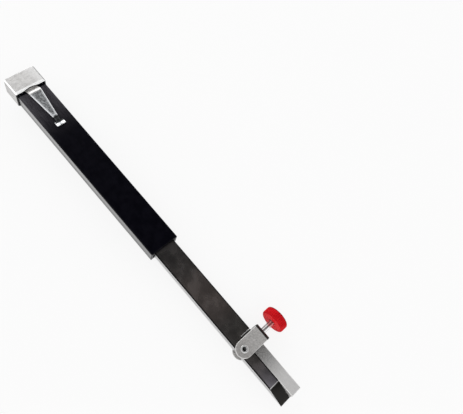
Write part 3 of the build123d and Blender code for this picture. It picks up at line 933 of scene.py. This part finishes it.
def make_clip():
    """Pressed spring clip: a rounded strip carried along its bend line, crowned across, with raised rims.

    A point is bend line(u) + y side + (rise(u, q) + s h(q)) normal(u) for q from -1 to 1 across the top
    (s = 1) and back under it (s = -1). y = q w(u). h falls as a quarter circle at the edges, and the rise is
    the crown c (1 - q^2) less c, less the panel's depth where the panel is pressed in.
    """
    start = low("pocket_clip").x
    thick = 0.7 * mm
    line_z = face_z + thick / 2
    foot_z = line_z + 0.02 * mm
    out_x = cap_front_x + 0.2 * mm
    bends = [(start + 0.01 * mm, line_z), (out_x, line_z), (hump_x, line_z + 2.5 * mm),
             (neck_x, line_z + 0.85 * mm), (foot_x, foot_z), (foot_x + 1.9 * mm, foot_z),
             (clip_end_x - 0.13 * mm, line_z + 0.45 * mm)]
    bend_radii = [0, 0.9 * mm, 2.2 * mm, 1.6 * mm, 0.9 * mm, 0.9 * mm, 0]
    line = rounded(bends, bend_radii, steps=12)
    run = np.concatenate([[0], np.cumsum(np.linalg.norm(np.diff(line, axis=0), axis=1))])
    stations, points_across = 420, 33
    u = np.linspace(0, run[-1], stations)
    line = np.stack([np.interp(u, run, line[:, 0]), np.interp(u, run, line[:, 1])], axis=1)
    along = np.gradient(line, u, axis=0)
    along /= np.linalg.norm(along, axis=1, keepdims=True)
    x = line[:, 0]
    left = run[-1] - u

    taper = np.clip((x - hump_x) / (neck_x - hump_x), 0, 1)
    half = root_half_width + (neck_half_width - root_half_width) * taper
    widening = ramp_up(x, foot_x + 0.35 * mm, foot_x + 0.75 * mm)
    half = half + (foot_half_width - neck_half_width) * widening
    corner = 0.5 * mm
    half = half - corner * (1 - np.sqrt(1 - np.clip(1 - left / corner, 0, 1) ** 2))
    crown = 0.22 * mm * ramp_up(x, out_x, hump_x) * (1 - 0.5 * taper)
    crown = crown * (1 - ramp_up(x, neck_x - 2 * mm, neck_x))
    panel_start = ramp_up(x, hump_x + 1.0 * mm, hump_x + 2.4 * mm)
    panel_end = 1 - ramp_up(x, neck_x - 2.2 * mm, neck_x - 1.0 * mm)
    panel = panel_start * panel_end

    across = np.sin(np.linspace(-pi / 2, pi / 2, points_across))
    q = np.concatenate([across, across[-2:0:-1]])[None, :]
    s = np.concatenate([np.ones(points_across), -np.ones(points_across - 2)])[None, :]
    w = half[:, None]
    edge = thick / 2
    reach = np.clip((np.abs(q) * w - (w - edge)) / edge, 0, 1)
    h = edge * np.sqrt(1 - reach ** 2)
    round_end = np.sqrt(1 - np.clip(1 - np.minimum(u, left) / (0.3 * mm), 0, 1) ** 2)[:, None]
    rim, rim_slope, panel_depth = 0.62 * mm, 0.28 * mm, 0.15 * mm
    inside_rim = 1 - ramp_up(np.abs(q) * w, w - rim - rim_slope, w - rim)
    pressed = panel[:, None] * inside_rim * (s > 0)
    rise = crown[:, None] * (1 - q ** 2) - panel_depth * pressed - crown[:, None]
    lift = rise + s * h * round_end
    grid = np.stack([x[:, None] - lift * along[:, 1:], q * w * np.ones_like(lift),
                     line[:, 1:] + lift * along[:, :1]], axis=2)
    stand_for(surface("pocket_clip_pressed", grid), "pocket_clip")


make_knob()
make_screw()
make_rivet()
make_clip()

broken_edges("sleeve_channel", 0.12 * mm)
broken_edges("face_plate", 0.08 * mm)
broken_edges("end_cap", 0.12 * mm, reshape=set_back_over_clip)
broken_edges("main_bar", 0.06 * mm)
broken_edges("sliding_leg", 0.07 * mm)
broken_edges("clamp_bracket", 0.08 * mm)
for node, packed in frame["nodes"].items():
    if not packed.hide_render:
        dress(packed, slot_of[node])


# Floor, light and camera

def make_floor():
    """A wide pale floor at the lowest point of the part.

    It shows as white, and keeps the part's soft shadow.
    """
    half = 3.0
    white_share = 0.85
    mesh = bpy.data.meshes.new("floor")
    corners = [(-half, -half, floor_z), (half, -half, floor_z), (half, half, floor_z), (-half, half, floor_z)]
    mesh.from_pydata(corners, [], [(0, 1, 2, 3)])
    floor = show(mesh, "floor")
    pale, shader, shading = material("floor_white", 0.0, 0.9, Specular_IOR_Level=0.1)
    shader.inputs["Base Color"].default_value = (0.93, 0.93, 0.93, 1.0)
    rays = shading.nodes.new("ShaderNodeLightPath").outputs
    mirrored = shading.larger(rays["Is Glossy Ray"], rays["Is Transmission Ray"])
    seen = shading.larger(rays["Is Camera Ray"], mirrored)
    glow = shading.nodes.new("ShaderNodeEmission")
    glow.inputs["Color"].default_value = (1.0, 1.0, 1.0, 1.0)
    glow.inputs["Strength"].default_value = 1.0
    blended = shading.nodes.new("ShaderNodeMixShader")
    shading.link(shading.times(seen, white_share), blended.inputs["Fac"])
    shading.link(shader.outputs["BSDF"], blended.inputs[1])
    shading.link(glow.outputs["Emission"], blended.inputs[2])
    shading.link(blended.outputs["Shader"], shading.nodes["Material Output"].inputs["Surface"])
    floor.data.materials.append(pale)


def make_world():
    """A bright studio all round, brighter low down.

    A darker patch overhead stands where a camera and its hood would be.
    """
    hood = Vector((-0.10, 0.28, 0.955)).normalized()
    world = bpy.data.worlds.new("studio")
    world.use_nodes = True
    bpy.context.scene.world = world
    shading = Shading(world.node_tree)
    direction = shading.nodes.new("ShaderNodeTexCoord").outputs["Generated"]
    towards_hood = shading.vector_math("DOT_PRODUCT", direction, tuple(hood))
    hood_edge, hood_middle = cos(radians(36)), cos(radians(17))
    hooded = shading.between(towards_hood, hood_edge, hood_middle)
    height = shading.split(direction)["Z"]
    around = shading.mix(shading.between(height, 0.62, 0.35), grey(0.80), grey(1.25))
    light = shading.mix(hooded, around, grey(0.10))
    background = shading.nodes["Background"]
    shading.link(light, background.inputs["Color"])
    background.inputs["Strength"].default_value = 1.0


def softbox(name, place, aim, size, watts):
    """A square soft light at a place, turned to face a point."""
    lamp = bpy.data.lights.new(name, "AREA")
    lamp.shape = "SQUARE"
    lamp.size = size
    lamp.energy = watts
    box = bpy.data.objects.new(name, lamp)
    box.location = place
    box.rotation_mode = "QUATERNION"
    box.rotation_quaternion = (Vector(aim) - Vector(place)).to_track_quat("-Z", "Y")
    bpy.context.scene.collection.objects.link(box)


def make_camera():
    """The photograph's own view, found from the edges of the sleeve, bar, bracket and legs."""
    place = Vector((0.105215, -0.067509, 0.235908))
    right = Vector((0.6597, 0.71706, 0.22497)).normalized()
    forward = Vector((-0.15733, 0.42449, -0.89166)).normalized()
    up = right.cross(forward).normalized()
    lens = bpy.data.cameras.new("camera")
    lens.sensor_width = 36.0
    lens.lens = 37.965
    lens.clip_start = 0.01
    camera = bpy.data.objects.new("camera", lens)
    turn = Matrix((right, up, -forward)).transposed()
    camera.matrix_world = Matrix.Translation(place) @ turn.to_4x4()
    bpy.context.scene.collection.objects.link(camera)
    bpy.context.scene.camera = camera


make_floor()
make_world()
part_centre = (0.045, 0.0, 0.005)
softbox("left_softbox", (-0.75, 0.25, 0.45), part_centre, size=0.5, watts=1.2)
softbox("right_softbox", (0.75, -0.35, 0.60), part_centre, size=0.5, watts=0.6)
make_camera()
bpy.context.scene.view_settings.view_transform = "Standard"
